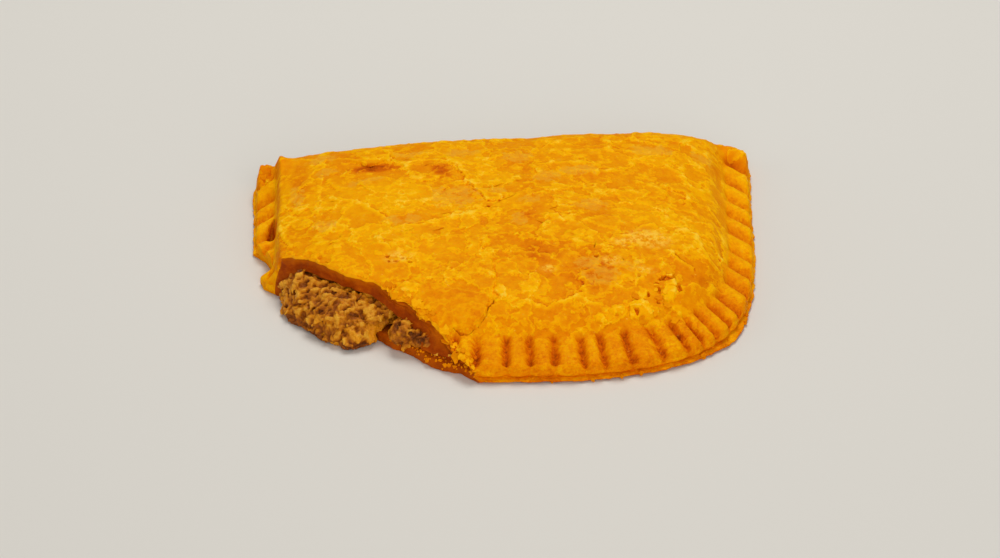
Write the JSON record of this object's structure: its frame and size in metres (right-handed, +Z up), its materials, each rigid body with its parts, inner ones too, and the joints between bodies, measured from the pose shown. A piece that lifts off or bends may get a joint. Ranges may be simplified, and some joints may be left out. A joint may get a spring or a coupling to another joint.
{
  "type": "jamaican patty",
  "caption": "Half-moon savoury pie with a flaky golden crust, crimped on three sides, one corner cut away to show its minced filling.",
  "frame": {"origin": "on the surface it rests on, under the centre of the whole part's box", "axes": "+X to the eater's right along the folded edge, +Y from the long crimped edge towards the folded edge, +Z up"},
  "size_m": [0.1578, 0.1237, 0.0204],
  "materials": {
    "crust": "dry baked flaky dough, golden yellow, satin",
    "filling": "moist cooked mince, tan brown, satin with small wet glints"
  },
  "bodies": {
    "root": {"pastry_crust": "crust", "meat_filling": "filling"}
  },
  "joints": []
}
